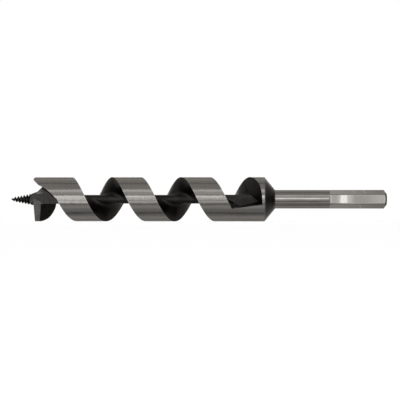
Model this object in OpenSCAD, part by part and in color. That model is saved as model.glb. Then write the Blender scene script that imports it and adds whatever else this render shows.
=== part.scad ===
// Auger bit for wood: a tapered feed screw, a ground head with one lip and one spur,
// one helical flight round a thin core, a neck collar and a shank with a hexagon end.
// The bit lies along X. The screw points to -X and the end face of the shank is at the origin.

/* [Twist] */
// Diameter of the hole that the bit bores
bit_d = 28; // [26:0.5:30]
// Length of one turn of the flight
pitch = 43.7; // [42:0.1:45]
// Width of the ground land, along the axis
land_w = 18.5; // [17:0.1:20]
// Diameter of the core rod between the turns
core_d = 5.5; // [5:0.1:5.8]
// Radius that blends the flight into the core
root_fillet = 3; // [2:0.1:4]

/* [Head] */
// Length of the feed screw, from its point to the outer corner of the lip
screw_len = 15; // [14:0.5:17]
// Diameter over the last turn of the screw thread
screw_d = 7.6; // [6.8:0.1:7.8]
// Pitch of the screw thread
screw_pitch = 1.9; // [1.6:0.1:2.4]
// Depth of the screw thread
screw_depth = 1.15; // [0.8:0.05:1.25]
// Distance from the axis to the flat ground face of the web
web = 2.85; // [2.8:0.05:3.1]
// Thickness of the spur where it leaves the land
spur_t = 2.4; // [2:0.1:3]

/* [Neck and shank] */
// Solid length of the neck, from the last leading edge to the cone
collar_len = 9.3; // [9:0.1:12]
// Length of the cone behind the neck
cone_len = 6.5; // [5:0.1:9]
// Diameter of the round shank
shank_d = 11.7; // [11:0.1:13]
// Length of the shank behind the cone
shank_len = 69.75; // [60:0.25:90]
// Size of the hexagon across its flats
hex_af = 10.4; // [9.8:0.05:10.6]
// Length of the hexagon
hex_len = 35.5; // [25:0.5:45]
// Length of the chamfer on the end of the shank
end_chamfer = 1.7; // [1:0.1:2.5]

/* [Hidden] */
$fn = 64;

// Stations along the bit, from the point of the screw
turns = 3;
lead_in = 5.15;
boss_z = screw_len - 1;
lip_z = screw_len;
lead_z = lip_z + lead_in;
run_z = lead_z + turns * pitch;
cone_z = run_z + collar_len;
shank_z = cone_z + cone_len;
overall_len = shank_z + shank_len;
hex_z = overall_len - hex_len;

// The head and the neck meet the flight on square faces
head_turn = 88;
neck_turn = 160;
head_end = lead_z + pitch * head_turn / 360;
neck_start = run_z - pitch * neck_turn / 360;

bit_r = bit_d / 2;
core_r = core_d / 2;
shank_r = shank_d / 2;
land_angle = 360 * land_w / pitch;
flute_angle = 360 - land_angle;
// Overrun of the cutting bodies, and the side of the slips that span a hull
clear = 1;
clear_r = bit_r + clear;
slip = 0.01;

// The fillet stops on the core with a small toe, and the flight keeps a brazing gap
toe = 0.2;
braze_gap = 0.06;
toe_r = core_r + toe;
bore_r = core_r + braze_gap;
fillet_x = sqrt(pow(toe_r + root_fillet, 2) - pow(root_fillet, 2));
fillet_turn = asin(root_fillet / (toe_r + root_fillet));

// Spigots, tang and tenon that hold the members together
tang_r = 1.6;
tang_len = 6;
spigot_r = 1.8;
spigot_len = 8;
tenon_r = 3.5;
tenon_len = 8;
// Step of the cone over the shank, and the fall of the end chamfer for its length
cone_step = 0.1;
chamfer_fall = 1.2;

// Angular steps of the twisted faces
twist_step = 9;
fillet_steps = 4;
land_steps = 16;
core_steps = 8;

// Angle by which the ground flats stop short of the flanks
flank_gap = 0.5;
// Flat over the root of the screw: its length, where it ends behind the lip, its lean and its roll
ground_len = 3.5;
ground_end = 0.3;
ground_lean = 12;
ground_roll = 10;
// Throat of the head: radius and distance behind the lip of the solid that is kept round the screw
throat_profile = [
    [0, -1], [3.9, -1], [4.9, 1.6], [7.3, 4.2], [11, 7], [6.2, 9], [4.5, 11],
    [4.1, head_end - lip_z - 1.1], [toe_r, head_end - lip_z], [0, head_end - lip_z]
];
// Upper facet of the throat: height where it starts, how far it leans and where it ends
facet_x = 3.5;
facet_lean = 25;
facet_len = 6;
// Relieved flank: how far round it falls from the lip, and the sector that is cleared in front of it
flank_turn = 180;
flank_sector = 175;
// Ground rake face of the lip: a point where it meets the web, and its two slopes
rake_x = 0.4;
rake_z = 0.5;
rake_lean = 10.9;
rake_hook = 6.9;
rake_reach = 6;
// Lip wedge: distance behind the lip and depth of its corners, at the web and past the rim
lip_front_y = 4;
lip_inner = [[-0.8, lip_front_y], [3.6, lip_front_y], [4.2, web], [11.4, -13.4], [2, -13.4]];
lip_outer = [[-0.4, lip_front_y], [0.7, lip_front_y], [2.7, 0.3], [9, -11.6], [0.9, -11.6]];
lip_relief_len = 5;
// Spur: distance behind the lip and height of its lower edge, and the taper of its inside
spur_edge = [[0.1, 12.3], [4.2, 8.8], [7.1, 7.5], [9.3, 6.2], [11.8, 4.2], [14.2, 2], [15.6, 0.5]];
spur_end = spur_edge[len(spur_edge) - 1][0];
spur_front = [0.3, 13.6];
spur_heel = [0.9, 14.5];
spur_back_y = 0.8;
spur_tip_t = 0.5;
spur_taper = 6;

// Flute run-out at the neck, as height, depth and distance from the last leading edge.
// Its lower wall leans back a little, and its end wall runs from the web out to the rim.
run_end = 8;
wall_edge = [[-7.6, web, -20], [-0.8, web, run_end], [-2.9, clear_r, run_end], [-7.2, clear_r, -20]];
end_edge = [
    [10.5, -4.8, -3.1], [3.3, web, 0], [-2.9, web, 7.3], [-4, clear_r, 8.5], [2.1, clear_r, 8.15],
    [5.6, 13.9, 7.65], [8.6, 12.3, 6.85], [clear_r, 4, 2.6]
];

// Turn of the leading edge at a station along the bit
function turn_at(z) = 360 * (z - lead_z) / pitch;

function turned(p, a) = [p[0] * cos(a) - p[1] * sin(a), p[0] * sin(a) + p[1] * cos(a)];

function arc(r, from, to, steps) =
    [for (i = [0:steps]) turned([r, 0], from + (to - from) * i / steps)];

// Leading side of the flight, from its flank through the fillet to the core
leading_root = [
    for (p = arc(root_fillet, 270, 180 + fillet_turn, fillet_steps)) [fillet_x, root_fillet] + p
];
// Trailing side, from the core out to its flank
trailing_root = [
    for (i = [fillet_steps:-1:0]) turned([leading_root[i][0], -leading_root[i][1]], -land_angle)
];
flight_outline = concat(
    arc(bit_r, -land_angle, 0, land_steps),
    leading_root,
    arc(bore_r, fillet_turn, -land_angle - fillet_turn, 2 * core_steps),
    trailing_root
);
flute_outline = concat(
    arc(clear_r, flute_angle, 0, core_steps),
    leading_root,
    arc(core_r, fillet_turn, flute_angle - fillet_turn, core_steps),
    trailing_root
);

// Height of the thread above its root, for a place within one thread pitch from 0 to 1
foot_share = 0.85;
crest_share = 0.25;
function thread_rise(place) =
    max(0, min(1, (foot_share - abs(place - 0.5) * 2) / (foot_share - crest_share)));

// Root radius of the screw: a short blunt point and then a slender taper
tip_r = 0.35;
point_len = 2.6;
point_r = 0.5;
thread_fade = 2.2;
// How far the thread is moved towards the point
thread_shift = 0.5;
// The groove of the thread runs out over a length that ends a little before the boss
groove_out = 1.6;
groove_gap = 1;
function filled(z) = max(0, min(1, (z - boss_z + groove_gap) / groove_out + 1));
function root_r(z) =
    z < point_len ? tip_r + (point_r - tip_r) * z / point_len
    : point_r + (screw_d / 2 - screw_depth - point_r) * (z - point_len) / (boss_z - point_len);

// Lays a piece out: its x points up, its y to the front and its z along the bit from the screw
module along_bit() {
    translate([-overall_len, 0, 0]) rotate([0, 90, 0]) rotate([0, 0, 180]) children();
}

// Winds a section of the flight from one station to another
module wound(from, to) {
    sweep = 360 * (to - from) / pitch;
    translate([0, 0, from]) rotate([0, 0, turn_at(from)])
        linear_extrude(to - from, twist = -sweep, slices = ceil(sweep / twist_step), convexity = 8)
            children();
}

module flute(from, to) {
    wound(from, to) polygon(flute_outline);
}

// Space of the flute in front of a flat ground face, where no fillet is left
module flat_ground(from, to) {
    intersection() {
        wound(from, to)
            polygon(concat([[0, 0]], arc(clear_r, flank_gap, flute_angle - flank_gap, core_steps)));
        translate([-clear_r, web, from]) cube([2 * clear_r, clear_r, to - from]);
    }
}

// A prism across the bit, from an outline of heights and stations
module cross_prism(outline, back, front) {
    translate([0, front, 0]) rotate([90, 0, 0]) linear_extrude(front - back) polygon(outline);
}

module screw_thread() {
    sides = 16;
    rings = floor(boss_z / screw_pitch * sides);
    ring_gap = boss_z / rings;
    points = [
        for (i = [0:rings], j = [0:sides - 1])
            let (z = i * ring_gap)
            let (place = (z + thread_shift) / screw_pitch - j / sides)
            let (swell = min(1, z / thread_fade))
            let (rise = max(thread_rise(place - floor(place)), filled(z)))
            let (r = root_r(z) + screw_depth * swell * rise)
            [r * cos(360 * j / sides), r * sin(360 * j / sides), z]
    ];
    point_end = [for (j = [0:sides - 1]) j];
    base_end = [for (j = [sides - 1:-1:0]) rings * sides + j];
    flanks = [
        for (i = [0:rings - 1], j = [0:sides - 1], half = [0, 1])
            let (a = i * sides + j)
            let (b = i * sides + (j + 1) % sides)
            half == 0 ? [a, a + sides, b + sides] : [a, b + sides, b]
    ];
    polyhedron(points, concat([point_end, base_end], flanks), convexity = 8);
}

// Flat that is ground over the root of the screw and eases out on the web
module root_ground() {
    translate([0, web, lip_z + ground_end]) rotate([-ground_lean, 0, 0]) rotate([0, 0, -ground_roll])
        translate([-bit_r, 0, -ground_len]) cube([bit_d, bit_r, ground_len]);
}

// Solid that stays in the throat, between the screw, the lip and the leading edge
module throat_web() {
    difference() {
        intersection() {
            translate([0, 0, lip_z]) rotate_extrude() polygon(throat_profile);
            translate([-web, web - bit_d, boss_z - clear]) cube([bit_d, bit_d, bit_d]);
        }
        translate([facet_x, web, boss_z - clear]) rotate([0, 0, -facet_lean])
            cube([bit_r, bit_r, lip_z + facet_len - boss_z + clear]);
    }
}

// Space in front of the flank, which falls away behind the lip to the spur
module flank_clearance() {
    translate([0, 0, boss_z - clear]) cylinder(h = lip_z - boss_z + clear, r = clear_r);
    translate([0, 0, lip_z]) rotate([0, 0, 180])
        linear_extrude(lead_in, twist = -flank_turn, slices = ceil(flank_turn / twist_step))
            polygon(concat([[0, 0]], arc(clear_r, 0, flank_sector, core_steps)));
}

// Space in front of the ground rake face of the lip
module rake_ground() {
    intersection() {
        translate([rake_x, web, lip_z + rake_z]) rotate([-rake_hook, 0, 0]) rotate([0, 0, rake_lean])
            translate([-bit_d, 0, -bit_r]) cube([bit_d + bit_r, bit_r, bit_d]);
        translate([-clear_r, -bit_r, boss_z - clear])
            cube([clear_r + rake_x + clear, bit_d, lip_z + rake_reach - boss_z + clear]);
    }
}

// Wedge of the lip, trimmed to a rim radius
module lip_wedge(rim_r) {
    intersection() {
        translate([0, 0, boss_z - clear]) cylinder(h = bit_r, r = rim_r);
        hull() {
            for (side = [[-web, lip_inner], [-clear_r, lip_outer]])
                translate([side[0], 0, lip_z]) rotate([0, -90, 0]) linear_extrude(slip) polygon(side[1]);
        }
    }
}

// Space behind the lip, where its back face is ground free of the fillet
module lip_relief() {
    corners = [
        for (side = [[-web, lip_inner], [-clear_r, lip_outer]], i = [2, 3])
            [side[0], side[1][i][1], lip_z + side[1][i][0]]
    ];
    hull() {
        for (p = corners, far = [0, lip_relief_len])
            translate(p + [0, 0, far]) cube(slip, center = true);
    }
}

module feed_screw() {
    color("dimgray") along_bit() {
        difference() {
            screw_thread();
            root_ground();
        }
        translate([0, 0, boss_z - clear]) cylinder(h = tang_len + clear, r = tang_r);
    }
}

module cutter_head() {
    color("gray") along_bit() difference() {
        translate([0, 0, boss_z]) cylinder(h = head_end - boss_z, r = bit_r);
        difference() {
            flute(boss_z - clear, head_end + clear);
            throat_web();
        }
        difference() {
            flank_clearance();
            throat_web();
        }
        flat_ground(boss_z - clear, head_end + clear);
        root_ground();
        rake_ground();
        lip_wedge(clear_r);
        lip_relief();
        translate([0, 0, boss_z - clear]) cylinder(h = tang_len + clear, r = tang_r);
        translate([0, 0, head_end - spigot_len]) cylinder(h = spigot_len + clear, r = spigot_r);
    }
}

module cutting_lip() {
    color("darkgray") along_bit() difference() {
        lip_wedge(bit_r);
        rake_ground();
    }
}

module spur() {
    outline = concat(
        [for (p = spur_edge) [p[1], lip_z + p[0]]],
        [[clear_r, lip_z + spur_end], [clear_r, lip_z + spur_heel[0]]],
        [for (p = [spur_heel, spur_front]) [p[1], lip_z + p[0]]]
    );
    plate = [
        [bit_r, 0], [bit_r, pitch / 2], [bit_r - spur_t, pitch / 2],
        [bit_r - spur_t, spur_taper], [bit_r - spur_tip_t, 0]
    ];
    color("silver") along_bit() intersection() {
        translate([0, 0, lip_z]) rotate_extrude() polygon(plate);
        cross_prism(outline, -spur_back_y, clear_r);
        flute(boss_z - clear, head_end + clear);
    }
}

module core_rod() {
    color("dimgray") along_bit() {
        translate([0, 0, head_end]) cylinder(h = neck_start - head_end, r = core_r);
        translate([0, 0, head_end - spigot_len])
            cylinder(h = neck_start - head_end + 2 * spigot_len, r = spigot_r);
    }
}

module flight() {
    color("silver") along_bit() wound(head_end, neck_start) polygon(flight_outline);
}

// Solid that stays in the neck, with a flat front that grows out of the core
module neck_web() {
    growth = [
        [0, neck_start - clear], [toe_r - clear, neck_start - clear],
        [bit_r, neck_start + bit_r - toe_r], [bit_r, cone_z], [0, cone_z]
    ];
    intersection() {
        translate([-bit_r, -web, neck_start - clear]) cube([bit_r + web, 2 * web, cone_z]);
        rotate_extrude() polygon(growth);
    }
}

// Block behind one wall of the run-out, from the wall's corners along a direction
module behind_wall(corners, way) {
    hull() {
        for (p = corners, far = [0, 1])
            translate([p[0], p[1], run_z + p[2]] + far * way) cube(slip, center = true);
    }
}

// Space that the flute takes out of the neck before it runs out
module neck_pocket() {
    difference() {
        union() {
            flute(neck_start - clear, run_z + run_end);
            flat_ground(neck_start - clear, run_z + run_end);
        }
        neck_web();
        behind_wall(wall_edge, [-bit_r, 0, 0]);
        behind_wall(end_edge, [0, 0, bit_r]);
    }
}

module neck_collar() {
    color("silver") along_bit() difference() {
        union() {
            translate([0, 0, neck_start]) cylinder(h = cone_z - neck_start, r = bit_r);
            translate([0, 0, cone_z]) cylinder(h = cone_len, r1 = bit_r, r2 = shank_r + cone_step);
        }
        neck_pocket();
        translate([0, 0, neck_start - clear]) cylinder(h = spigot_len + clear, r = spigot_r);
        translate([0, 0, shank_z - tenon_len]) cylinder(h = tenon_len + clear, r = tenon_r);
    }
}

module shank() {
    color("lightgray") along_bit() {
        translate([0, 0, shank_z - tenon_len]) cylinder(h = tenon_len + clear, r = tenon_r);
        intersection() {
            translate([0, 0, shank_z]) rotate_extrude() polygon([
                [0, 0], [shank_r, 0], [shank_r, shank_len - end_chamfer],
                [shank_r - chamfer_fall * end_chamfer, shank_len], [0, shank_len]
            ]);
            union() {
                translate([0, 0, shank_z - clear]) cylinder(h = shank_len - hex_len + clear, r = shank_d);
                translate([0, 0, hex_z - clear])
                    cylinder(h = hex_len + 2 * clear, r = hex_af / 2 / cos(30), $fn = 6);
            }
        }
    }
}

feed_screw();
cutter_head();
cutting_lip();
spur();
core_rod();
flight();
neck_collar();
shank();
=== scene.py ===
import math

import bmesh
import bpy
from mathutils import Matrix, Vector


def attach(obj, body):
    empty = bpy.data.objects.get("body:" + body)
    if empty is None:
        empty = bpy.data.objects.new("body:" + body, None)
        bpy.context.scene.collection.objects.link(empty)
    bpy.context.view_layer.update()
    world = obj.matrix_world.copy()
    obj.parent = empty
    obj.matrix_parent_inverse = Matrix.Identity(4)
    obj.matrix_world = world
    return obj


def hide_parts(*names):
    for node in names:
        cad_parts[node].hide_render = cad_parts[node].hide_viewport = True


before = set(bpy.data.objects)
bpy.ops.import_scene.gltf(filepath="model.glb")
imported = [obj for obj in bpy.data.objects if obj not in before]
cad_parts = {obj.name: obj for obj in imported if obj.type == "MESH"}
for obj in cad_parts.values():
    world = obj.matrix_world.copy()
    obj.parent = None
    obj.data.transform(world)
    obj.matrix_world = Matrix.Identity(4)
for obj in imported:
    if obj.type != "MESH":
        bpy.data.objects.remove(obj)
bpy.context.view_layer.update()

# Driving sizes in millimetres, in the frame's axes: X along the bit, -Y to the front, Z up
MM = 0.001
BIT_R = 14.0
PITCH = 43.7
LAND = 18.5
CORE_R = 2.75
FILLET = 3.0
SCREW_LEN = 15.0
SCREW_R = 3.8
THREAD = 1.9
THREAD_DEPTH = 1.15
WEB = 2.85
SPUR_T = 2.4
COLLAR_LEN = 9.3
CONE_LEN = 6.5
SHANK_R = 5.85
SHANK_LEN = 69.75
HEX_R = 5.2
HEX_LEN = 35.5
END_CHAMFER = 1.7

# Stations along the bit, from the end face of the shank at the frame's origin
TURNS = 3
LEAD_IN = 5.15
BOSS = 1.0
HEAD_TURN = 88
NECK_TURN = 160
SHANK_X = -SHANK_LEN
HEX_X = -HEX_LEN
CONE_X = SHANK_X - CONE_LEN
RUN_X = CONE_X - COLLAR_LEN
LEAD_X = RUN_X - TURNS * PITCH
LIP_X = LEAD_X - LEAD_IN
BOSS_X = LIP_X - BOSS
POINT_X = LIP_X - SCREW_LEN
HEAD_X = LEAD_X + PITCH * HEAD_TURN / 360
NECK_X = RUN_X - PITCH * NECK_TURN / 360

# Overrun of the cutting bodies
CLEAR = 1.0
CLEAR_R = BIT_R + CLEAR

# Section of the twist: toe of the fillet, brazing gap, broken rim, and gap beside the ground flats
TOE = 0.2
BRAZE_GAP = 0.06
TOE_R = CORE_R + TOE
BORE_R = CORE_R + BRAZE_GAP
RIM_BREAK = 0.3
FLANK_GAP = 0.5
LAND_TURN = 360 * LAND / PITCH
FLUTE_TURN = 360 - LAND_TURN
FILLET_AT = math.sqrt((TOE_R + FILLET) ** 2 - FILLET ** 2)
FILLET_TURN = math.degrees(math.asin(FILLET / (TOE_R + FILLET)))

# Steps of the faces: degrees along the twist, and counts round the fillets, arcs, bore and turned bodies
TWIST_STEP = 3.0
FILLET_STEPS = 8
ARC_STEPS = 48
BORE_STEPS = 36
ROUND_STEPS = 144

# Flat over the root of the screw: its length, where it ends behind the lip, its lean and its roll
GROUND_LEN = 3.5
GROUND_END = 0.3
GROUND_LEAN = 12
GROUND_ROLL = 10

# Throat of the head: distance behind the lip and radius of the solid that is kept round the screw
HEAD_BACK = HEAD_X - LIP_X
THROAT = [
    (-1, 0), (-1, 3.9), (1.6, 4.9), (4.2, 7.3), (7, 11), (9, 6.2), (11, 4.5),
    (HEAD_BACK - 1.1, 4.1), (HEAD_BACK, TOE_R), (HEAD_BACK, 0),
]

# Upper facet of the throat: height where it starts, how far it leans and where it ends
FACET_UP = 3.5
FACET_LEAN = 25
FACET_LEN = 6.0

# Relieved flank: how far round it falls from the lip, and the sector that is cleared in front of it
FLANK_TURN = 180
FLANK_SECTOR = 175
FLANK_STEPS = 40

# Ground rake face of the lip: a point where it meets the web, its two slopes and its reach
RAKE_UP = 0.4
RAKE_AT = 0.5
RAKE_LEAN = 10.9
RAKE_HOOK = 6.9
RAKE_REACH = 6.0

# Lip wedge: distance behind the lip and depth of its corners, at the web and past the rim
LIP_INNER = [(-0.8, 4), (3.6, 4), (4.2, WEB), (11.4, -13.4), (2, -13.4)]
LIP_OUTER = [(-0.4, 4), (0.7, 4), (2.7, 0.3), (9, -11.6), (0.9, -11.6)]
LIP_RELIEF = 5.0

# Spur: distance behind the lip and height of its outline, and the taper of its inside
SPUR_EDGE = [(0.1, 12.3), (4.2, 8.8), (7.1, 7.5), (9.3, 6.2), (11.8, 4.2), (14.2, 2), (15.6, 0.5)]
SPUR_FRONT = (0.3, 13.6)
SPUR_HEEL = (0.9, 14.5)
SPUR_BACK = 0.8
SPUR_TIP_T = 0.5
SPUR_TAPER = 6.0
SPUR_STEPS = 180

# Flute run-out at the neck: height, depth and distance from the last leading edge
RUN_END = 8.0
LOWER_WALL = [
    (-7.6, WEB, -20), (-0.8, WEB, RUN_END), (-3.6, CLEAR_R, RUN_END), (-7.9, CLEAR_R, -20),
]
END_WALL = [
    (10.5, -4.8, -3.1), (3.3, WEB, 0), (-2.9, WEB, 7.3), (-4, CLEAR_R, 8.5), (2.1, CLEAR_R, 8.15),
    (5.6, 13.9, 7.65), (8.6, 12.3, 6.85), (CLEAR_R, 4, 2.6),
]

# Broken rim of the cone: where it starts and ends beside the edge, and its fall; step over the shank
CONE_BREAK = 0.25
CONE_BREAK_END = 0.1
CONE_BREAK_FALL = 0.2
CONE_STEP = 0.1

# Feed screw: its blunt point, the form of its thread and where the groove runs out
TIP_R = 0.35
POINT_R = 0.5
POINT = 2.6
THREAD_FADE = 2.2
THREAD_SHIFT = 0.5
FOOT_SHARE = 0.85
CREST_SHARE = 0.25
GROOVE_OUT = 1.6
GROOVE_GAP = 1.0
SCREW_RINGS = 300
SCREW_STEPS = 64
SCREW_BLANK_R = 5.0

# Tang, spigots and tenon that hold the members together
TANG_R = 1.6
TANG = 6.0
SPIGOT_R = 1.8
SPIGOT = 8.0
TENON_R = 3.5
TENON = 8.0

# End of the shank: station and fall of its chamfer and of the broken rim of its face
END_RIM = [(-END_CHAMFER, 0), (-0.25, 1.8), (0, 2.1)]

# Flats of the hexagon: distance behind their start and distance from the axis, and what is cut outside them
HEX_SIDES = 6
FLAT = [(-0.5, SHANK_R), (-0.3, 5.6), (-0.05, 5.43), (0.3, 5.35), (0.8, 5.325), (12, HEX_R)]
FLAT_OUT = 9.0
FLAT_HALF = 8.0
FLAT_PAST = 2.0

# Distances under which points are one, while the bodies are made and when a piece is done
SAME = 1e-4
MERGED = 2e-3

# Finishes, in the order of the material slots that the pieces are cut with
(
    LAND_GRIND, FLUTE_BLACK, THROAT_GRIND, FACET_GRIND, ROOT_GRIND,
    LIP_GRIND, LIP_BLACK, SCREW_BLACK, CONE_BLACK, SHANK_BRIGHT,
) = range(10)

# Turns height, depth to the front and station into the frame's axes
TO_FRAME = Matrix(((0, 0, 1, 0), (0, -1, 0, 0), (1, 0, 0, 0), (0, 0, 0, 1)))


def at(x, r, turn):
    """A point at a station, a radius and a turn from the top to the front."""
    a = math.radians(turn)
    return Vector((x, -r * math.sin(a), r * math.cos(a)))


def placed(up, front, x):
    """A point at a height, a depth to the front and a station."""
    return TO_FRAME @ Vector((up, front, x))


def tilted(up, front, x, *turns):
    """A place in height, depth and station, turned in order by angles about its own axes."""
    matrix = Matrix.Translation((up, front, x))
    for angle, axis in turns:
        matrix = matrix @ Matrix.Rotation(math.radians(angle), 4, axis)
    return matrix


def clamped(value):
    """The nearest value from 0 to 1."""
    return max(0, min(1, value))


class Outline:
    """An outline drawn point by point, by growing a vertex along lines and round arcs about X."""

    def __init__(self, start):
        self.bm = bmesh.new()
        self.first = self.last = self.bm.verts.new(start)

    def line(self, *points):
        for p in points:
            self.last = bmesh.ops.extrude_vert_indiv(self.bm, verts=[self.last])["verts"][0]
            self.last.co = p
        return self

    def arc(self, turn, steps, centre=(0, 0, 0)):
        made = bmesh.ops.spin(
            self.bm, geom=[self.last], cent=centre, axis=(1, 0, 0), angle=math.radians(turn), steps=steps
        )
        self.last = made["geom_last"][0]
        return self

    def close(self):
        self.bm.edges.new((self.last, self.first))
        return self.bm


# Closed meshes

def close_up(bm, finish):
    """Merges the seams, closes the open ends and points the faces outwards."""
    bmesh.ops.remove_doubles(bm, verts=bm.verts, dist=SAME)
    bmesh.ops.holes_fill(bm, edges=[e for e in bm.edges if e.is_boundary], sides=0)
    bmesh.ops.recalc_face_normals(bm, faces=bm.faces)
    for f in bm.faces:
        f.material_index = finish
    return bm


def turned(points, finish, steps=ROUND_STEPS):
    """A body of revolution about X, from a loop of stations and radii or a line that ends on the axis."""
    bm = Outline(at(*points[0], 0)).line(*[at(*p, 0) for p in points[1:]]).bm
    bmesh.ops.spin(
        bm, geom=bm.verts[:] + bm.edges[:], axis=(1, 0, 0), angle=math.tau, steps=steps, use_merge=True
    )
    return close_up(bm, finish)


def wound(bm, start, end, sweep, finish):
    """Winds an outline along the bit, from one station to another."""
    steps = math.ceil(sweep / TWIST_STEP)
    bmesh.ops.spin(
        bm, geom=bm.verts[:] + bm.edges[:], axis=(1, 0, 0), angle=math.radians(sweep),
        dvec=((end - start) / steps, 0, 0), steps=steps
    )
    return close_up(bm, finish)


def prism(points, way, finish):
    """A body between a flat outline and its copy moved some way."""
    bm = Outline(points[0]).line(*points[1:]).close()
    face = bmesh.ops.contextual_create(bm, geom=bm.edges[:])["faces"]
    grown = bmesh.ops.extrude_face_region(bm, geom=face)["geom"]
    bmesh.ops.translate(bm, vec=way, verts=[v for v in grown if isinstance(v, bmesh.types.BMVert)])
    return close_up(bm, finish)


# Bodies

def body(bm):
    """An object with a closed mesh, to be cut or joined."""
    mesh = bpy.data.meshes.new("body")
    bm.to_mesh(mesh)
    bm.free()
    obj = bpy.data.objects.new("body", mesh)
    bpy.context.collection.objects.link(obj)
    return obj


def rod(start, end, r, finish):
    """A round rod about X between two stations."""
    return body(turned([(start, 0), (start, r), (end, r), (end, 0)], finish))


def block(low, high, finish, tilt=Matrix.Identity(4)):
    """A block between two corners in height, depth and station, tilted and laid in the frame."""
    bm = bmesh.new()
    low, high = Vector(low), Vector(high)
    bmesh.ops.create_cube(bm, size=1)
    bmesh.ops.scale(bm, vec=high - low, verts=bm.verts)
    bmesh.ops.translate(bm, vec=(low + high) / 2, verts=bm.verts)
    bmesh.ops.transform(bm, matrix=TO_FRAME @ tilt, verts=bm.verts)
    return body(close_up(bm, finish))


def spanned(points, finish):
    """The smallest body that spans some corners."""
    bm = bmesh.new()
    bmesh.ops.convex_hull(bm, input=[bm.verts.new(p) for p in points])
    return body(close_up(bm, finish))


def combine(how, base, *tools):
    """Cuts, joins or intersects bodies, and leaves one body."""
    for tool in tools:
        step = base.modifiers.new(how, "BOOLEAN")
        step.operation = how
        step.solver = "MANIFOLD"
        step.object = tool
    graph = bpy.context.evaluated_depsgraph_get()
    mesh = bpy.data.meshes.new_from_object(base.evaluated_get(graph))
    base.modifiers.clear()
    base.data = mesh
    for tool in tools:
        bpy.data.objects.remove(tool)
    return base


def cut(base, *tools):
    return combine("DIFFERENCE", base, *tools)


def join(base, *tools):
    return combine("UNION", base, *tools)


def common(base, *tools):
    return combine("INTERSECT", base, *tools)


# Sections of the twist

def lead_at(x):
    """Turn of the leading edge at a station."""
    return 360 * (x - LEAD_X) / PITCH


def fillet_centre(x, turn, side):
    """Centre of the fillet beside a flank, on the side that the turn grows to or the other."""
    a = math.radians(turn)
    return at(x, FILLET_AT, turn) + side * FILLET * Vector((0, -math.cos(a), -math.sin(a)))


def flight_outline(x):
    """Section of the flight: leading flank, bore, trailing flank and land, with broken rims."""
    lead = lead_at(x)
    trail = lead - LAND_TURN
    edge = math.degrees(RIM_BREAK / BIT_R)
    fillet = 90 - FILLET_TURN
    o = Outline(at(x, BIT_R - RIM_BREAK, lead)).line(at(x, FILLET_AT, lead))
    o.arc(-fillet, FILLET_STEPS, fillet_centre(x, lead, 1)).line(at(x, BORE_R, lead + FILLET_TURN))
    o.arc(-LAND_TURN - 2 * FILLET_TURN, BORE_STEPS).line(at(x, TOE_R, trail - FILLET_TURN))
    o.arc(-fillet, FILLET_STEPS, fillet_centre(x, trail, -1)).line(at(x, BIT_R - RIM_BREAK, trail))
    o.line(at(x, BIT_R, trail + edge)).arc(LAND_TURN - 2 * edge, ARC_STEPS)
    return o.close()


def flute_outline(x):
    """Section of the space between two turns of the flight, out past the rim."""
    lead = lead_at(x)
    trail = lead + FLUTE_TURN
    fillet = 90 - FILLET_TURN
    o = Outline(at(x, CLEAR_R, lead)).line(at(x, FILLET_AT, lead))
    o.arc(-fillet, FILLET_STEPS, fillet_centre(x, lead, 1)).line(at(x, CORE_R, lead + FILLET_TURN))
    o.arc(FLUTE_TURN - 2 * FILLET_TURN, ARC_STEPS).line(at(x, TOE_R, trail - FILLET_TURN))
    o.arc(-fillet, FILLET_STEPS, fillet_centre(x, trail, -1)).line(at(x, CLEAR_R, trail))
    return o.arc(-FLUTE_TURN, ARC_STEPS).close()


def along_twist(outline, start, end):
    """An outline that follows the twist from one station to another."""
    return wound(outline, start, end, lead_at(end) - lead_at(start), FLUTE_BLACK)


def flute(start, end):
    """Space between two turns of the flight."""
    return body(along_twist(flute_outline(start), start, end))


def flat_ground(start, end):
    """Space of the flute in front of a flat ground face, where no fillet is left."""
    fan = Outline(at(start, 0, 0)).line(at(start, CLEAR_R, lead_at(start) + FLANK_GAP))
    fan = fan.arc(FLUTE_TURN - 2 * FLANK_GAP, ARC_STEPS).close()
    space = body(along_twist(fan, start, end))
    low = (-CLEAR_R, WEB, start - CLEAR)
    high = (CLEAR_R, CLEAR_R + CLEAR, end + CLEAR)
    return common(space, block(low, high, THROAT_GRIND))


# Feed screw

def root_ground():
    """Flat over the root of the screw, which eases out on the web."""
    slope = tilted(0, WEB, LIP_X + GROUND_END, (-GROUND_LEAN, "X"), (-GROUND_ROLL, "Z"))
    return block((-BIT_R, 0, -GROUND_LEN), (BIT_R, BIT_R, 0), ROOT_GRIND, slope)


def thread_radius(along, turn):
    """Radius of the screw at a distance from its point and a turn from the top to the front."""
    span = BOSS_X - POINT_X
    place = ((along + THREAD_SHIFT) / THREAD - turn / math.tau) % 1
    root = TIP_R + (POINT_R - TIP_R) * along / POINT
    if along > POINT:
        root = POINT_R + (SCREW_R - THREAD_DEPTH - POINT_R) * (along - POINT) / (span - POINT)
    crest = clamped((FOOT_SHARE - abs(place - 0.5) * 2) / (FOOT_SHARE - CREST_SHARE))
    filled = clamped((along - span + GROOVE_GAP) / GROOVE_OUT + 1)
    return root + THREAD_DEPTH * clamped(along / THREAD_FADE) * max(crest, filled)


def feed_screw():
    """Tapered screw with a right-hand thread on its tang: a turned blank, drawn in to the thread."""
    ring = (BOSS_X - POINT_X) / SCREW_RINGS
    points = [(POINT_X, 0)]
    points += [(POINT_X + ring * i, SCREW_BLANK_R) for i in range(SCREW_RINGS + 1)]
    points += [(BOSS_X, TANG_R), (BOSS_X + TANG, TANG_R), (BOSS_X + TANG, 0)]
    bm = turned(points, SCREW_BLACK, SCREW_STEPS)
    for v in bm.verts:
        r = math.hypot(v.co.y, v.co.z)
        if r > SCREW_R:
            grown = thread_radius(v.co.x - POINT_X, math.atan2(-v.co.y, v.co.z))
            v.co.y *= grown / r
            v.co.z *= grown / r
    return cut(body(bm), root_ground())


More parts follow.
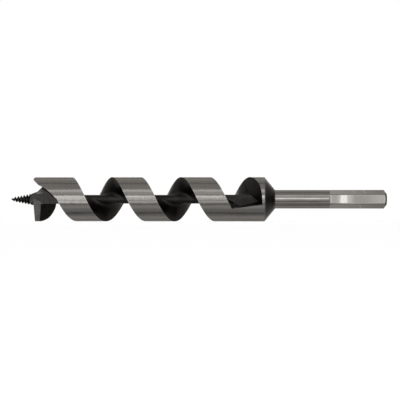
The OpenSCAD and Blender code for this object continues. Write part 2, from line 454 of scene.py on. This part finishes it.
# Cutter head, lip and spur

def throat_web():
    """Solid that is kept round the root of the screw, with the upper facet ground off."""
    start = BOSS_X - CLEAR
    web = body(turned([(LIP_X + x, r) for x, r in THROAT], THROAT_GRIND))
    side = 2 * BIT_R
    keep = block((-WEB, WEB - side, start), (side - WEB, WEB, start + side), THROAT_GRIND)
    lean = tilted(FACET_UP, WEB, start, (-FACET_LEAN, "Z"))
    facet = block((0, 0, 0), (BIT_R, BIT_R, LIP_X + FACET_LEN - start), FACET_GRIND, lean)
    return cut(common(web, keep), facet)


def flank_clearance():
    """Space in front of the relieved flank."""
    front = rod(BOSS_X - CLEAR, LIP_X, CLEAR_R, FLUTE_BLACK)
    fan = Outline(at(LIP_X, 0, 0)).line(at(LIP_X, CLEAR_R, FLANK_TURN))
    fan = fan.arc(FLANK_SECTOR, FLANK_STEPS).close()
    return join(front, body(wound(fan, LIP_X, LEAD_X, FLANK_TURN, FLUTE_BLACK)))


def rake_ground():
    """Space in front of the ground rake face of the lip."""
    slope = tilted(RAKE_UP, WEB, LIP_X + RAKE_AT, (-RAKE_HOOK, "X"), (RAKE_LEAN, "Z"))
    stone = block((-2 * BIT_R, 0, -BIT_R), (BIT_R, BIT_R, BIT_R), LIP_GRIND, slope)
    low = (-CLEAR_R, -BIT_R, BOSS_X - CLEAR)
    high = (RAKE_UP + CLEAR, BIT_R, LIP_X + RAKE_REACH)
    return common(stone, block(low, high, LIP_GRIND))


def lip_corners(inner, outer):
    """Corners of the lip at the web and past the rim."""
    corners = [placed(-WEB, front, LIP_X + x) for x, front in inner]
    return corners + [placed(-CLEAR_R, front, LIP_X + x) for x, front in outer]


def lip_wedge(finish):
    """The lip before its rake face is ground."""
    return spanned(lip_corners(LIP_INNER, LIP_OUTER), finish)


def lip_relief():
    """Space behind the lip, where its back face is ground free of the fillet."""
    corners = lip_corners(LIP_INNER[2:4], LIP_OUTER[2:4])
    return spanned(corners + [p + Vector((LIP_RELIEF, 0, 0)) for p in corners], FLUTE_BLACK)


def cutter_head():
    """Ground front end of the twist, with the throat, the boss, the flank and the lip's seat."""
    start = BOSS_X - CLEAR
    end = HEAD_X + CLEAR
    head = rod(BOSS_X, HEAD_X, BIT_R, LAND_GRIND)
    twist = cut(flute(start, end), throat_web())
    front = cut(flank_clearance(), throat_web())
    ground = [flat_ground(start, end), root_ground()]
    lip = [rake_ground(), lip_wedge(LIP_GRIND), lip_relief()]
    tang = rod(start, BOSS_X + TANG, TANG_R, FLUTE_BLACK)
    spigot = rod(HEAD_X - SPIGOT, end, SPIGOT_R, FLUTE_BLACK)
    return cut(head, twist, front, *ground, *lip, tang, spigot)


def cutting_lip():
    """The one chisel lip, black behind and ground on its rake face."""
    rim = rod(BOSS_X - CLEAR, HEAD_X, BIT_R, LAND_GRIND)
    return cut(common(lip_wedge(LIP_BLACK), rim), rake_ground())


def spur():
    """The one scoring tooth, a thin curved plate at the rim."""
    inside = BIT_R - SPUR_T
    back = PITCH / 2
    wall = [(0, BIT_R), (back, BIT_R), (back, inside), (SPUR_TAPER, inside), (0, BIT_R - SPUR_TIP_T)]
    ring = body(turned([(LIP_X + x, r) for x, r in wall + wall[:1]], LAND_GRIND, SPUR_STEPS))
    edge = SPUR_EDGE + [(SPUR_EDGE[-1][0], CLEAR_R), (SPUR_HEEL[0], CLEAR_R), SPUR_HEEL, SPUR_FRONT]
    corners = [placed(up, -SPUR_BACK, LIP_X + x) for x, up in edge]
    side = body(prism(corners, (0, -CLEAR_R - SPUR_BACK, 0), THROAT_GRIND))
    return common(ring, side, flute(BOSS_X - CLEAR, HEAD_X + CLEAR))


# Flight and neck

def paint(bm, finish, chosen):
    """Gives a finish to the faces whose station and distance from the axis are chosen."""
    for f in bm.faces:
        c = f.calc_center_median()
        if chosen(c.x, math.hypot(c.y, c.z)):
            f.material_index = finish


def flight():
    """The helical band, black in the flute and ground on its land inside the broken rims."""
    bm = along_twist(flight_outline(HEAD_X), HEAD_X, NECK_X)
    paint(bm, LAND_GRIND, lambda x, r: r > BIT_R - RIM_BREAK / 3)
    return body(bm)


def behind_wall(corners, way):
    """Solid that is left behind a wall of the run-out."""
    points = [placed(up, front, RUN_X + x) for up, front, x in corners]
    return spanned(points + [p + Vector(way) for p in points], FLUTE_BLACK)


def neck_blank():
    """Full-diameter end of the twist, and the black cone."""
    bm = turned([
        (NECK_X, 0), (NECK_X, BIT_R), (CONE_X - CONE_BREAK, BIT_R),
        (CONE_X + CONE_BREAK_END, BIT_R - CONE_BREAK_FALL), (SHANK_X, SHANK_R + CONE_STEP), (SHANK_X, 0),
    ], LAND_GRIND)
    paint(bm, CONE_BLACK, lambda x, r: x > CONE_X - CONE_BREAK)
    return body(bm)


def neck_web():
    """Core between the flutes, which grows out to the rim under the run-out."""
    start = NECK_X - CLEAR
    growth = body(turned([
        (start, 0), (start, TOE_R - CLEAR), (NECK_X + BIT_R - TOE_R, BIT_R), (CONE_X, BIT_R), (CONE_X, 0),
    ], FLUTE_BLACK))
    return common(growth, block((-BIT_R, -WEB, start), (WEB, WEB, CONE_X + CLEAR), FLUTE_BLACK))


def neck_collar():
    """Solid end of the twist, with the flute's run-out pocket and the black cone."""
    start = NECK_X - CLEAR
    end = RUN_X + RUN_END
    space = join(flute(start, end), flat_ground(start, end))
    walls = [behind_wall(LOWER_WALL, (0, 0, -BIT_R)), behind_wall(END_WALL, (BIT_R, 0, 0))]
    pocket = cut(space, neck_web(), *walls)
    spigot = rod(start, NECK_X + SPIGOT, SPIGOT_R, FLUTE_BLACK)
    tenon = rod(SHANK_X - TENON, SHANK_X + CLEAR, TENON_R, FLUTE_BLACK)
    return cut(neck_blank(), pocket, spigot, tenon)


# Shank

def hex_flat(turn):
    """Space outside one flat of the hexagon, which eases into the round shank."""
    outline = [(HEX_X + FLAT[0][0], FLAT_OUT)] + [(HEX_X + x, r) for x, r in FLAT]
    outline += [(FLAT_PAST, HEX_R), (FLAT_PAST, FLAT_OUT)]
    bm = prism([Vector((x, -r, -FLAT_HALF)) for x, r in outline], (0, 0, 2 * FLAT_HALF), SHANK_BRIGHT)
    spin = Matrix.Rotation(math.radians(turn), 3, "X")
    bmesh.ops.rotate(bm, cent=(0, 0, 0), matrix=spin, verts=bm.verts)
    return body(bm)


def shank():
    """Round shank with a ground hexagon end, on its tenon."""
    seat = SHANK_X - TENON
    points = [(seat, 0), (seat, TENON_R), (SHANK_X, TENON_R), (SHANK_X, SHANK_R)]
    points += [(x, SHANK_R - fall) for x, fall in END_RIM] + [(0, 0)]
    bar = body(turned(points, SHANK_BRIGHT))
    return cut(bar, *[hex_flat(360 * i / HEX_SIDES) for i in range(HEX_SIDES)])


# Warmth painted into the steels' colour as a reflection of warm surroundings, the part of it that is left
# edge-on, and the light that the steels mirror edge-on
WARM_RED = 0.06
WARM_BLUE = 0.08
EDGE_WARMTH = 0.4
BRIGHT_EDGE = 0.5
BLACK_EDGE = 0.65
CONE_EDGE = 0.8
LIP_EDGE = 0.45


def warm(level, share=1.0):
    """A grey warmed by a painted reflection of warm surroundings, at a level of light, or a share of that
    warmth.
    """
    return (1 + WARM_RED * share) * level, level, (1 - WARM_BLUE * share) * level


# Shader nodes

class Wire:
    """A socket of a finish, with sums written as Python."""

    def __init__(self, finish, socket):
        self.finish = finish
        self.socket = socket

    def sum(self, how, a, b=0.0, c=0.0):
        return self.finish.node("ShaderNodeMath", {"operation": how}, {0: a, 1: b, 2: c})

    def __add__(self, other):
        return self.sum("ADD", self, other)

    __radd__ = __add__

    def __sub__(self, other):
        return self.sum("SUBTRACT", self, other)

    def __rsub__(self, other):
        return self.sum("SUBTRACT", other, self)

    def __mul__(self, other):
        return self.sum("MULTIPLY", self, other)

    __rmul__ = __mul__

    def __truediv__(self, other):
        return self.sum("DIVIDE", self, other)

    def __neg__(self):
        return self.sum("SUBTRACT", 0.0, self)

    def __pow__(self, other):
        return self.sum("POWER", self, other)

    def fraction(self):
        return self.sum("FRACT", self)

    def above(self, low, high):
        """0 below the first value, 1 above the second and smooth between them."""
        sockets = {"Value": self, 1: low, 2: high, 3: 0.0, 4: 1.0}
        return self.finish.node("ShaderNodeMapRange", {"interpolation_type": "SMOOTHSTEP"}, sockets)

    def below(self, low, high):
        """1 below the first value, 0 above the second and smooth between them."""
        return 1 - self.above(low, high)


class Finish:
    """The nodes of a material or of the world, made by one method."""

    def __init__(self, owner):
        self.owner = owner
        owner.use_nodes = True
        self.tree = owner.node_tree
        self.tree.nodes.clear()

    def node(self, kind, settings=None, sockets=None, out=0):
        made = self.tree.nodes.new(kind)
        for name, value in (settings or {}).items():
            setattr(made, name, value)
        for name, value in (sockets or {}).items():
            if isinstance(value, Wire):
                self.tree.links.new(value.socket, made.inputs[name])
            elif value is not None:
                made.inputs[name].default_value = value
        return Wire(self, made.outputs[out]) if made.outputs else None

    def place(self):
        """Object coordinates in millimetres, and their three parts."""
        metres = self.node("ShaderNodeTexCoord", out="Object")
        mm = self.node("ShaderNodeVectorMath", {"operation": "SCALE"}, {0: metres, "Scale": 1 / MM})
        parts = [self.node("ShaderNodeSeparateXYZ", None, {0: mm}, axis) for axis in "XYZ"]
        return mm, *parts

    def noise(self, mm, sizes, detail, turn=(0, 0, 0)):
        """Noise whose grain has these sizes along the three axes, and is turned about them."""
        scale = tuple(1 / s for s in sizes)
        sockets = {"Vector": mm, "Rotation": turn, "Scale": scale}
        grain = self.node("ShaderNodeMapping", {"vector_type": "POINT"}, sockets)
        sockets = {"Vector": grain, "Scale": 1.0, "Detail": detail, "Roughness": 0.55}
        return self.node("ShaderNodeTexNoise", {"noise_dimensions": "3D"}, sockets)

    def colour(self, share, low, high):
        """A mix of two colours, each a socket or three numbers."""
        low, high = [c if isinstance(c, Wire) else (*c, 1) for c in (low, high)]
        settings = {"data_type": "RGBA", "clamp_factor": True}
        return self.node("ShaderNodeMix", settings, {0: share, 6: low, 7: high}, 2)

    def bump(self, height, strength, distance, normal=None):
        sockets = {"Height": height, "Strength": strength, "Distance": distance * MM, "Normal": normal}
        return self.node("ShaderNodeBump", None, sockets)

    def surface(self, sockets):
        shader = self.node("ShaderNodeBsdfPrincipled", None, sockets)
        self.node("ShaderNodeOutputMaterial", None, {"Surface": shader})
        return self.owner

    def steel(self, colour, roughness, normal, edge):
        """Bare or black steel, and the share of the light that it mirrors where it is seen edge-on."""
        return self.surface({
            "Base Color": colour, "Roughness": roughness, "Metallic": 1.0, "Normal": normal,
            "Specular Tint": (*warm(edge, EDGE_WARMTH), 1),
        })


# Materials

def land_edges(f, x, y, z):
    """Share of wear and painted highlight along the two edges of the land, where they are free."""
    turn = f.node("ShaderNodeMath", {"operation": "ARCTAN2"}, {0: -y, 1: z})
    across = ((x - LEAD_X) / PITCH - turn / math.tau).fraction() * PITCH
    leading = across.below(0.15, 0.9)
    leading = leading * x.above(HEAD_X, HEAD_X + 2) * x.below(RUN_X - 4, RUN_X)
    trailing = across.above(LAND - 0.9, LAND - 0.15) * across.below(LAND + 0.1, LAND + 0.4)
    return leading + trailing * x.below(NECK_X + 4, NECK_X + 6)


def ground_land():
    """Bright land with fine lines from grinding round the bit, and wear along its edges under a painted
    highlight.
    """
    f = Finish(bpy.data.materials.new("ground_land"))
    mm, x, y, z = f.place()
    lines = f.noise(mm, (0.12, 6, 6), 2)
    fine = f.noise(mm, (0.5, 9, 9), 3)
    cloud = f.noise(mm, (26, 2.2, 2.2), 3)
    wave = f.noise(mm, (2.4, 5, 5), 2)
    dark, pale, line, bright_tone = warm(0.115), warm(0.139), warm(0.184), warm(0.27)
    # painted highlight along the land's edges, mixed with their wear
    worn_and_glint = land_edges(f, x, y, z) * (0.35 + 0.65 * fine.above(0.35, 0.65))
    tone = f.colour(cloud.above(0.25, 0.75), dark, pale)
    tone = f.colour(lines.above(0.3, 0.75) * 0.25, tone, line)
    tone = f.colour(worn_and_glint * 0.4, tone, bright_tone)
    rough = 0.12 + 0.06 * fine + 0.05 * cloud
    normal = f.bump(wave, 1.0, 0.11, f.bump(lines, 0.35, 0.02))
    return f.steel(tone, rough, normal, BRIGHT_EDGE)


def pocket_corner(x, y, z):
    """Share of the run-out floor's grey on the flank beside its lower left corner."""
    along = x.above(NECK_X + 2, NECK_X + 5) * x.below(RUN_X - 9, RUN_X - 6)
    return along * z.below(-3, -2) * (-y).above(2.9, 3.6)


def black_flute():
    """Black oxide of the flute, with painted shade beside its rim."""
    f = Finish(bpy.data.materials.new("black_flute"))
    mm, x, y, z = f.place()
    scale = f.noise(mm, (1.6, 1.6, 1.6), 4)
    wide = f.noise(mm, (9, 5, 5), 2)
    dark, pale, rim, ground = warm(0.0105), warm(0.0172), warm(0.002), warm(0.12)
    from_axis = (y * y + z * z) ** 0.5
    tone = f.colour(wide.above(0.3, 0.7), dark, pale)
    # painted shade: the flute is darkened beside the rim
    tone = f.colour(from_axis.above(BIT_R - 1.1, BIT_R - 0.5) * 0.85, tone, rim)
    tone = f.colour(pocket_corner(x, y, z), tone, ground)
    rough = 0.3 + 0.16 * scale + 0.06 * wide
    return f.steel(tone, rough, f.bump(scale, 0.25, 0.05), BLACK_EDGE)


def black_scale(name, size, level, edge):
    """Black oxide in small clouds of a size, at a mean level of light."""
    f = Finish(bpy.data.materials.new(name))
    mm, _, _, _ = f.place()
    scale = f.noise(mm, (size, size, size), 4)
    dark, pale = warm(0.6 * level), warm(1.4 * level)
    tone = f.colour(scale.above(0.3, 0.72), dark, pale)
    return f.steel(tone, 0.34 + 0.16 * scale, f.bump(scale, 0.25, 0.04), edge)


# Curve of the painted shadow under the spur's lower edge on the throat: a point behind the lip, and the
# slope and bend there
SPUR_MIDDLE = 6.9
SPUR_HEIGHT = 6.2
SPUR_SLOPE = 0.65
SPUR_BEND = 0.043


def spur_shadow(x, z):
    """Share of painted shadow on the throat along the lower edge of the spur."""
    along = x - LIP_X - SPUR_MIDDLE
    over = z - SPUR_HEIGHT + SPUR_SLOPE * along + SPUR_BEND * along * along
    return over.above(-1.1, -0.3) * along.below(4, 6.5) * 0.75


def grey_grind(name, level, grain, turn=(0, 0, 0), rough=0.3, fade=None):
    """Grey ground steel with fine grinding lines, painted at the mean level of light and shade that its
    face shows, with painted shadow under the spur and painted shade that can fall in between two stations.
    """
    f = Finish(bpy.data.materials.new(name))
    mm, x, _, z = f.place()
    lines = f.noise(mm, grain, 2, turn)
    cloud = f.noise(mm, (2.4, 3, 3), 3)
    dark, pale, line, black = warm(0.8 * level), warm(1.2 * level), warm(1.8 * level), warm(0)
    tone = f.colour(cloud.above(0.3, 0.7), dark, pale)
    tone = f.colour(lines.above(0.5, 0.8) * 0.3, tone, line)
    # painted shadow under the spur
    tone = f.colour(spur_shadow(x, z), tone, black)
    # painted shade that falls in between the two stations
    if fade:
        tone = f.colour(x.above(*fade) * 0.5, tone, black)
    return f.steel(tone, rough + 0.12 * cloud, f.bump(lines, 0.3, 0.02), BRIGHT_EDGE)


def cone_black():
    """Black cone with turning rings, with the steel showing along its rim and thin at its foot."""
    f = Finish(bpy.data.materials.new("cone_black"))
    mm, x, _, _ = f.place()
    rings = f.noise(mm, (0.25, 30, 30), 2)
    wide = f.noise(mm, (1.6, 24, 24), 2)
    dark, pale, rim, foot = warm(0.0045), warm(0.011), warm(0.09), warm(0.05)
    tone = f.colour(wide.above(0.3, 0.7), dark, pale)
    tone = f.colour(x.below(CONE_X - 0.1, CONE_X + 0.7) * 0.8, tone, rim)
    tone = f.colour(x.above(SHANK_X - 1.6, SHANK_X) * 0.6, tone, foot)
    return f.steel(tone, 0.3 + 0.12 * wide, f.bump(rings, 0.3, 0.02), CONE_EDGE)


# Scratches on the flats beside the front flat: station and height
SCRATCHES = [(-20.5, 4.9), (-14.1, 4.9), (-16.6, -4.6)]

# Side flats: stations between which their tone falls
SIDE_FALL = (-34, 2)

# Front flat: its middle height, squares of the heights of its edges and of its lighter sides
FLAT_MIDDLE = 0.12
FLAT_EDGES = (6.2, 6.7)
FLAT_SIDES = (4.4, 6.8)

# Front flat: stations between which its tones and painted highlights come in or go out
FLAT_DULL = (-24, -18)
FLAT_PALE = (-15, -4)
HIGHLIGHT_BAND_IN = (-32, -29)
HIGHLIGHT_BAND_OUT = (-25, -20)
GLINT_IN = (-29.5, -28.8)
GLINT_OUT = (-25.3, -24.5)

# End of the shank: stations where the painted highlight of its last stretch, its chamfer and its face come
# in
LAST_STRETCH = (-2.2, -1.5)
CHAMFER = (-1.3, -1.0)
END_FACE = (-0.3, -0.1)


def scratched(f, tone, x, y, z):
    """A tone with the light scratches across the side flats."""
    for place, height in SCRATCHES:
        off = x - place + 0.5 * (z - height)
        mark = (off * off).below(0.02, 0.3) * ((z - height) ** 2).below(0.6, 1.6)
        tone = f.colour(mark * (-y).above(0, 1) * 0.4, tone, warm(0.3))
    return tone


def front_flat(f, x, z, patch):
    """Tone of the front flat: painted highlights at its start, in a band and one patch near its start and
    on its last stretch, and lighter along its edges.
    """
    start, dull, pale = warm(0.135), warm(0.117), warm(0.155)
    sides, first, highlight_band, bright_tone, last = warm(0.19), warm(0.185), warm(0.215), warm(0.318, 0.6), warm(0.2)
    tone = f.colour(x.above(*FLAT_DULL), start, dull)
    tone = f.colour(x.above(*FLAT_PALE), tone, pale)
    tone = f.colour((z * z).above(*FLAT_SIDES) * 0.5, tone, sides)
    # painted highlights: the flat's first stretch, a band and a patch near its start
    tone = f.colour(x.below(HEX_X + 0.7, HEX_X + 1.6) * 0.7, tone, first)
    tone = f.colour(x.above(*HIGHLIGHT_BAND_IN) * x.below(*HIGHLIGHT_BAND_OUT) * 0.8, tone, highlight_band)
    uneven = x + 1.4 * (patch - 0.5)
    tone = f.colour(uneven.above(*GLINT_IN) * uneven.below(*GLINT_OUT), tone, bright_tone)
    # painted highlight on the last stretch before the chamfer
    return f.colour(x.above(*LAST_STRETCH) * 0.6, tone, last)


def shank_bright():
    """Bright turned shank, with its ground hexagon and the dark chamfer of its end."""
    f = Finish(bpy.data.materials.new("shank_bright"))
    mm, x, y, z = f.place()
    lines = f.noise(mm, (0.14, 5, 5), 2)
    cloud = f.noise(mm, (9, 1.6, 1.6), 3)
    patch = f.noise(mm, (3.2, 2, 2), 4)
    wave = f.noise(mm, (3, 6, 6), 2)
    dark, pale, side_start, side_end = warm(0.116), warm(0.145), warm(0.2), warm(0.124)
    chamfer, line = warm(0.02), warm(0.195)
    hexagon = x.above(HEX_X - 0.7, HEX_X)
    before_end = x.below(*END_FACE)
    front = (-y).above(0, 1) * ((z - FLAT_MIDDLE) ** 2).below(*FLAT_EDGES)
    tone = f.colour(cloud.above(0.25, 0.75), dark, pale)
    side = f.colour(x.above(*SIDE_FALL) + 0.4 * (patch - 0.5), side_start, side_end)
    tone = scratched(f, f.colour(hexagon * 0.8, tone, side), x, y, z)
    # the front flat's tone, which carries painted highlights
    tone = f.colour(hexagon * before_end * front, tone, front_flat(f, x, z, patch))
    tone = f.colour(x.above(*CHAMFER) * before_end * 0.8, tone, chamfer)
    tone = f.colour(lines.above(0.35, 0.8) * 0.2, tone, line)
    normal = f.bump(wave, 1.0, 0.012, f.bump(lines, 0.3, 0.02))
    return f.steel(tone, 0.1 + 0.05 * patch, normal, BRIGHT_EDGE)


# Grain of the throat's ground faces with its turn in radians, grain of the lip, and the stations over which
# painted shade falls on the facet
THROAT_GRAIN = (0.9, 3, 0.1)
THROAT_WAY = (0, 0.5, 0)
LIP_GRAIN = (0.14, 3, 3)
FACET_SHADE = (LIP_X + 4.2, LIP_X + 6.2)

# The four grey grinds are one ground steel, each painted at the level of light and shade that its face
# shows
FINISHES = [
    ground_land(),
    black_flute(),
    grey_grind("throat_grind", 0.0175, THROAT_GRAIN, THROAT_WAY),
    grey_grind("facet_grind", 0.155, THROAT_GRAIN, THROAT_WAY, rough=0.5, fade=FACET_SHADE),
    grey_grind("root_grind", 0.032, THROAT_GRAIN, THROAT_WAY),
    grey_grind("lip_grind", 0.057, LIP_GRAIN),
    black_scale("lip_black", 1.4, 0.011, LIP_EDGE),
    black_scale("screw_black", 0.7, 0.022, BLACK_EDGE),
    cone_black(),
    shank_bright(),
]

# Shading: edges up to this angle are smooth, and three limits tell turned and wound faces from others
SMOOTH = math.radians(11)
NARROW = 0.998
UNTWISTED = 0.03
WOUND = 0.999


def ways(p):
    """Directions out from the axis and round it at a point, and the point's distance from the axis."""
    out = Vector((0, p.y, p.z)).normalized()
    return out, Vector((0, -out.z, out.y)), math.hypot(p.y, p.z)


def wound_normal(round_way, r):
    """Normal of a flank of the twist at a distance from the axis."""
    lead = PITCH * MM / math.tau
    return (Vector((r, 0, 0)) - lead * round_way).normalized()


def corner_normals(mesh):
    """Normals of the turned and wound faces, worked out from the bit's axis; other corners keep theirs."""
    normals = [Vector(n.vector) for n in mesh.corner_normals]
    for face in mesh.polygons:
        n = face.normal
        out, round_way, r = ways(face.center)
        flank = n.dot(wound_normal(round_way, r))
        corners = [(i, *ways(mesh.vertices[mesh.loops[i].vertex_index].co)) for i in face.loop_indices]
        narrow = all(c[1].dot(out) > NARROW for c in corners)
        if narrow and abs(n.dot(round_way)) < UNTWISTED:
            tilt = math.copysign(math.sqrt(max(0, 1 - n.x ** 2)), n.dot(out))
            for i, out_there, _, _ in corners:
                normals[i] = Vector((n.x, 0, 0)) + tilt * out_there
        elif abs(flank) > WOUND:
            for i, _, round_there, r_there in corners:
                normals[i] = math.copysign(1, flank) * wound_normal(round_there, r_there)
    mesh.normals_split_custom_set(normals)


# Pieces

def dressed(obj, name):
    """The mesh of a body in metres, with its finishes and shading."""
    bm = bmesh.new()
    bm.from_mesh(obj.data)
    bpy.data.objects.remove(obj)
    bmesh.ops.remove_doubles(bm, verts=bm.verts, dist=MERGED)
    bmesh.ops.dissolve_degenerate(bm, edges=bm.edges, dist=SAME)
    bmesh.ops.scale(bm, vec=(MM, MM, MM), verts=bm.verts)
    used = sorted({f.material_index for f in bm.faces})
    for f in bm.faces:
        f.material_index = used.index(f.material_index)
        f.smooth = True
    for e in bm.edges:
        e.smooth = len(e.link_faces) == 2 and e.calc_face_angle() < SMOOTH
    mesh = bpy.data.meshes.new(name)
    bm.to_mesh(mesh)
    bm.free()
    corner_normals(mesh)
    for i in used:
        mesh.materials.append(FINISHES[i])
    return mesh


def piece(obj, node):
    """Lets a dressed body stand for a node of the frame."""
    name = node + "_ground"
    made = bpy.data.objects.new(name, dressed(obj, name))
    bpy.context.collection.objects.link(made)
    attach(made, "root")
    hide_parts(node)


piece(feed_screw(), "feed_screw")
piece(cutter_head(), "cutter_head")
piece(cutting_lip(), "cutting_lip")
piece(spur(), "spur")
piece(flight(), "flight")
piece(neck_collar(), "neck_collar")
piece(shank(), "shank")

# The core rod stays as packed, with the flute's finish
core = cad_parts["core_rod"].data.materials
core.clear()
core.append(FINISHES[FLUTE_BLACK])

# Camera: where it looks and stands in metres, its lens and sensor in millimetres, and its range in metres
AIM = Vector((-0.117, 0, -0.00047))
EYE = Vector((-0.0921, -0.6909, -0.00047))
LENS = 98.52
SENSOR = 36
NEAREST = 0.05
FARTHEST = 50

# Floor below the bit and lamps along it, in metres
FLOOR = 0.13
FLOOR_SIZE = 6
LAMP_AWAY = 1.1
LAMP_LEN = 1.6
LAMP_START = AIM.x - LAMP_LEN / 2
LAMP_END = AIM.x + LAMP_LEN / 2
LAMP_COLOUR = (0.965, 1, 1.035)
LAMP_POWER = 4

# Key light: its power, width and tilt in degrees; light of the walls, and shade of the gap between them
KEY_POWER = 2.4
KEY_WIDTH = 2
KEY_TILT = -16.5
WALL_LIGHT = 0.32
GAP_SHADE = 0.5


# Studio

def pale_floor():
    """Pale floor with two bands of painted shade along the bit, which only mirror rays see."""
    f = Finish(bpy.data.materials.new("pale_floor"))
    mm, _, y, _ = f.place()
    low, high, dark = (0.93, 0.93, 0.93), (0.95, 0.95, 0.95), (0.05, 0.05, 0.05)
    tone = f.colour(f.noise(mm, (60, 60, 60), 2), low, high)
    near = -y
    under = near.above(-22, 4) * near.below(95, 150)
    ahead = near.above(185, 260) * near.below(320, 480)
    mirrored = f.node("ShaderNodeLightPath", out="Is Glossy Ray")
    # painted shade that only the bit's mirror rays see, in two bands along the bit
    tone = f.colour(mirrored * (0.42 * under + 0.66 * ahead), tone, dark)
    return f.surface({"Base Color": tone, "Roughness": 0.9})


def floor():
    """A level floor, far enough below for the bit's shadow to fall outside the photo's frame."""
    bm = bmesh.new()
    bmesh.ops.create_grid(bm, x_segments=4, y_segments=4, size=FLOOR_SIZE)
    bmesh.ops.translate(bm, vec=(0, 0, -FLOOR), verts=bm.verts)
    mesh = bpy.data.meshes.new("floor")
    bm.to_mesh(mesh)
    bm.free()
    mesh.materials.append(pale_floor())
    obj = bpy.data.objects.new("floor", mesh)
    bpy.context.collection.objects.link(obj)


def strip_lamp(name, angle, wide, level, away=LAMP_AWAY, start=LAMP_START, end=LAMP_END, mirror_only=False):
    """A soft lamp along the bit, some degrees up from the camera's side and some degrees wide."""
    a = math.radians(angle)
    data = bpy.data.lights.new(name, "AREA")
    data.shape = "RECTANGLE"
    data.size = end - start
    data.size_y = 2 * away * math.tan(math.radians(wide) / 2)
    data.energy = level * LAMP_POWER * data.size * data.size_y
    data.color = LAMP_COLOUR
    lamp = bpy.data.objects.new(name, data)
    lamp.location = ((start + end) / 2, -away * math.cos(a), away * math.sin(a))
    lamp.rotation_euler = (math.radians(90) - a, 0, 0)
    lamp.visible_diffuse = not mirror_only
    bpy.context.collection.objects.link(lamp)


def front_lamps():
    """Lamps above, level with and below the bit, and short ones that only the head or the shank mirrors."""
    strip_lamp("high_lamp", angle=45, wide=11, level=1.3)
    strip_lamp("upper_lamp", angle=33, wide=13, level=0.47)
    strip_lamp("front_lamp", angle=14, wide=8, level=2.7)
    strip_lamp("level_lamp", angle=3, wide=11, level=0.95)
    strip_lamp("low_lamp", angle=-15, wide=9, level=0.65, away=0.38, end=-0.07)
    strip_lamp("head_lamp", angle=1.5, wide=19, level=1.12, away=0.75, end=-0.265, mirror_only=True)
    strip_lamp("head_low_lamp", angle=-15.2, wide=8.6, level=1.25, away=0.36, end=-0.22, mirror_only=True)
    strip_lamp("shank_lamp", angle=9, wide=18, level=1.2, start=-0.042, end=0.058, mirror_only=True)
    strip_lamp("shank_level_lamp", angle=1, wide=15, level=0.25, start=-0.05, mirror_only=True)


def back_cards():
    """Cards behind the bit, which give its back light lines and leave the floor as it is."""
    strip_lamp("back_high_card", angle=128, wide=26, level=0.32, mirror_only=True)
    strip_lamp("back_card", angle=167, wide=8, level=1.2, mirror_only=True)


def key_light():
    """Light from above and a little behind, which lights the floor and keeps the bit's shadow there."""
    data = bpy.data.lights.new("key_light", "SUN")
    data.energy = KEY_POWER
    data.angle = math.radians(KEY_WIDTH)
    lamp = bpy.data.objects.new("key_light", data)
    lamp.rotation_euler = (math.radians(KEY_TILT), 0, 0)
    lamp.visible_glossy = False
    bpy.context.collection.objects.link(lamp)


def walls():
    """White walls for the camera and the mirror rays, with a narrow darker gap between them overhead."""
    world = bpy.data.worlds.new("studio")
    bpy.context.scene.world = world
    f = Finish(world)
    rays = ("Is Camera Ray", "Is Glossy Ray", "Is Transmission Ray")
    direct, mirrored, through = [f.node("ShaderNodeLightPath", out=name) for name in rays]
    settings = {"operation": "ADD", "use_clamp": True}
    seen = f.node("ShaderNodeMath", settings, {0: direct + mirrored, 1: through})
    way = f.node("ShaderNodeTexCoord", out="Generated")
    across, up = [f.node("ShaderNodeSeparateXYZ", None, {0: way}, axis) for axis in "YZ"]
    gap = (across * across).below(0.0, 0.012) * up.above(0.6, 0.8)
    white = (1, 1, 1, 1)
    soft = f.node("ShaderNodeBackground", None, {"Color": white, "Strength": WALL_LIGHT})
    bright = f.node("ShaderNodeBackground", None, {"Color": white, "Strength": 1 - GAP_SHADE * gap})
    light = f.node("ShaderNodeMixShader", None, {0: seen, 1: soft, 2: bright})
    f.node("ShaderNodeOutputWorld", None, {"Surface": light})


def camera():
    """The photo's view: level, from the front and a little to the right."""
    data = bpy.data.cameras.new("camera")
    data.lens = LENS
    data.sensor_width = SENSOR
    data.clip_start = NEAREST
    data.clip_end = FARTHEST
    obj = bpy.data.objects.new("camera", data)
    obj.location = EYE
    obj.rotation_euler = (AIM - EYE).to_track_quat("-Z", "Y").to_euler()
    bpy.context.collection.objects.link(obj)
    bpy.context.scene.camera = obj


front_lamps()
back_cards()
key_light()
walls()
floor()
camera()
bpy.context.scene.view_settings.view_transform = "Standard"
